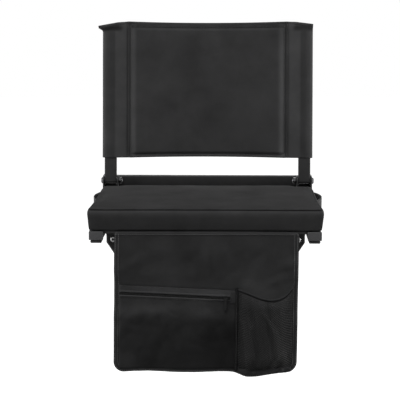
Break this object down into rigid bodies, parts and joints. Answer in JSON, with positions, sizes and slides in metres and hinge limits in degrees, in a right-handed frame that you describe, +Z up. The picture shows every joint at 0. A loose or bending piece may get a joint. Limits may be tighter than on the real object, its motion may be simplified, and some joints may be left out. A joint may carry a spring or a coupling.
{
  "type": "stadium seat",
  "caption": "Padded stadium seat with a folding sleeve back, hooks for a bench edge, and a hanging front flap with a zip pocket and a mesh bottle pocket.",
  "frame": {"origin": "on the bench top under the middle of the cushion, level with the undersides of the rubber feet", "axes": "+Z up from the bench top, +X to the right for someone facing the seat from the front, -Y towards the front edge of the bench"},
  "size_m": [0.461, 0.4007, 0.6426],
  "materials": {
    "coated_steel": "black powder coat",
    "zinc": "zinc plated",
    "plug_plastic": "matt moulded",
    "foot_rubber": "matt",
    "plywood": "raw birch plywood",
    "foam": "open-cell foam",
    "seat_cloth": "black woven polyester",
    "flap_cloth": "black woven polyester, thin",
    "mesh_cloth": "black knitted mesh",
    "webbing": "black ribbed webbing",
    "zip_coil": "black nylon coil on woven tape",
    "zip_metal": "black painted zinc casting"
  },
  "bodies": {
    "seat": {"left_side_rail": "coated_steel", "right_side_rail": "coated_steel", "front_cross_tube": "coated_steel", "rear_cross_tube": "coated_steel", "hook_rail": "coated_steel", "stop_bar": "coated_steel", "left_outer_hinge_plate": "coated_steel", "left_inner_hinge_plate": "coated_steel", "right_outer_hinge_plate": "coated_steel", "right_inner_hinge_plate": "coated_steel", "left_front_plug": "plug_plastic", "right_front_plug": "plug_plastic", "left_rear_plug": "plug_plastic", "right_rear_plug": "plug_plastic", "left_front_foot": "foot_rubber", "right_front_foot": "foot_rubber", "left_rear_foot": "foot_rubber", "right_rear_foot": "foot_rubber", "left_front_plate_rivet": "zinc", "left_rear_plate_rivet": "zinc", "right_front_plate_rivet": "zinc", "right_rear_plate_rivet": "zinc", "left_hinge_bolt": "zinc", "right_hinge_bolt": "zinc", "left_hinge_nut": "zinc", "right_hinge_nut": "zinc", "left_hinge_sleeve": "zinc", "right_hinge_sleeve": "zinc", "left_hook_bolt": "zinc", "right_hook_bolt": "zinc", "left_front_board_screw": "zinc", "left_rear_board_screw": "zinc", "right_front_board_screw": "zinc", "right_rear_board_screw": "zinc", "seat_board": "plywood", "seat_foam": "foam", "seat_cover": "seat_cloth", "left_side_loop": "webbing", "right_side_loop": "webbing"},
    "back": {"left_upright": "coated_steel", "right_upright": "coated_steel", "left_upright_cap": "plug_plastic", "right_upright_cap": "plug_plastic", "back_front_panel": "seat_cloth", "back_rear_panel": "seat_cloth", "back_pad": "foam"},
    "flap": {"flap_panel": "flap_cloth", "zip_pocket_panel": "flap_cloth", "zip_tape": "zip_coil", "mesh_pocket": "mesh_cloth", "mesh_pocket_band": "webbing"},
    "zip_slider": {"zip_slider": "zip_metal"},
    "zip_pull": {"zip_pull": "zip_metal"},
    "handle": {"carry_handle": "webbing", "left_handle_rivet": "zinc", "right_handle_rivet": "zinc"},
    "left_hook": {"left_hook": "coated_steel"},
    "right_hook": {"right_hook": "coated_steel"}
  },
  "joints": [
    {"name": "back_fold", "type": "hinge", "parent": "seat", "child": "back", "pos_m": [0, 0.168, 0.0685], "axis": [1, 0, 0], "range_deg": [0, 93]},
    {"name": "flap_swing", "type": "hinge", "parent": "seat", "child": "flap", "pos_m": [0, -0.1502, 0.0205], "axis": [-1, 0, 0], "range_deg": [0, 90]},
    {"name": "handle_swing", "type": "hinge", "parent": "seat", "child": "handle", "pos_m": [0, -0.095, 0.0132], "axis": [-1, 0, 0], "range_deg": [0, 77]},
    {"name": "left_hook_turn", "type": "hinge", "parent": "seat", "child": "left_hook", "pos_m": [-0.09, -0.133, 0], "axis": [0, 0, 1], "range_deg": [0, 90]},
    {"name": "right_hook_turn", "type": "hinge", "parent": "seat", "child": "right_hook", "pos_m": [0.09, -0.133, 0], "axis": [0, 0, -1], "range_deg": [0, 90]},
    {"name": "zip_slide", "type": "slide", "parent": "flap", "child": "zip_slider", "axis": [-0.999, 0, 0.0436], "range_m": [0, 0.188]},
    {"name": "zip_pull_swing", "type": "hinge", "parent": "zip_slider", "child": "zip_pull", "pos_m": [0.038, -0.1599, -0.10165], "axis": [-0.999, 0, 0.0436], "range_deg": [0, 150]}
  ],
  "couplings": [
    {"joint": "handle_swing", "follows": "flap_swing", "ratio": 0.85}
  ]
}
